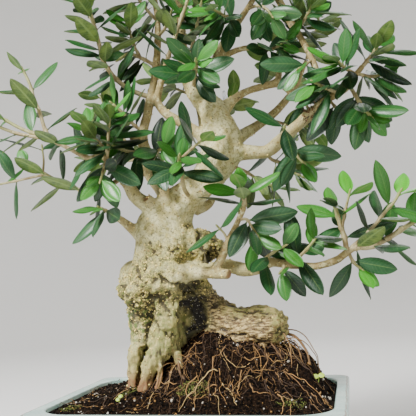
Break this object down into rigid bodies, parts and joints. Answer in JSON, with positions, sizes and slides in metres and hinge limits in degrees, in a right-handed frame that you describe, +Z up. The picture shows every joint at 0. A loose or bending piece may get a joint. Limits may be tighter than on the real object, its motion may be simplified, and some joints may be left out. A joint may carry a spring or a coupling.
{
  "type": "olive bonsai",
  "caption": "Olive bonsai with a swollen old bole on bare roots and a leafy open crown, planted in soil in a glazed rectangular footed pot.",
  "frame": {"origin": "middle of the pot's footprint, on the surface that its feet stand on", "axes": "+Z up, +X along the pot's long side to the viewer's right, -Y towards the viewer who sees the tree's front"},
  "size_m": [0.3545, 0.162, 0.4355],
  "materials": {
    "bark": "rough grey-brown bark",
    "leaf": "glossy dark green leaf, pale underneath",
    "young_leaf": "bright green young leaf",
    "glaze": "pale blue-green glazed stoneware",
    "soil": "dark gritty bonsai soil",
    "net": "black plastic net"
  },
  "bodies": {
    "root": {"pot": "glaze", "drain_screen_left": "net", "drain_screen_right": "net", "soil": "soil", "trunk": "bark", "twig_far_left": "leaf", "twig_low_left": "leaf", "twig_left_end": "leaf", "twig_low_stub_end": "leaf", "twig_front_shoot": "leaf", "twig_mid_left": "leaf", "twig_mid_left_back": "leaf", "twig_left_cluster": "leaf", "twig_top_left": "leaf", "twig_left_leader_side": "leaf", "twig_young_shoot": "young_leaf", "twig_left_leader_top": "leaf", "twig_left_leader_left": "leaf", "twig_left_leader_right": "leaf", "twig_left_fork_front": "leaf", "twig_left_fork_up": "leaf", "twig_left_fork_top": "leaf", "twig_left_fork_back": "leaf", "twig_centre_front": "leaf", "twig_centre_right": "leaf", "twig_centre_top": "leaf", "twig_centre_left_top": "leaf", "twig_mid_side_end": "leaf", "twig_right_upper_end": "leaf", "twig_right_upper_top": "leaf", "twig_droop_side": "leaf", "twig_droop_top": "leaf", "twig_droop_low": "leaf", "twig_right_end": "leaf", "twig_right_end_back": "leaf", "twig_right_end_right": "leaf", "twig_right_low": "leaf", "twig_right_left": "leaf", "twig_right_under": "leaf", "twig_right_mid": "leaf", "twig_right_mid_low": "leaf", "twig_right_dark": "leaf", "twig_neck_right": "leaf", "twig_rising_end": "young_leaf", "twig_rising_right": "leaf", "twig_rising_left": "leaf", "twig_low_limb_a": "leaf", "twig_low_limb_b": "leaf", "twig_low_limb_c": "leaf", "twig_far_right": "young_leaf", "twig_back_left_1": "leaf", "twig_back_left_2": "leaf", "twig_back_left_3": "leaf", "twig_back_middle_1": "leaf", "twig_back_middle_2": "leaf", "twig_back_middle_3": "leaf", "twig_back_right_1": "leaf", "twig_back_right_2": "leaf", "twig_back_right_3": "leaf"}
  },
  "joints": []
}
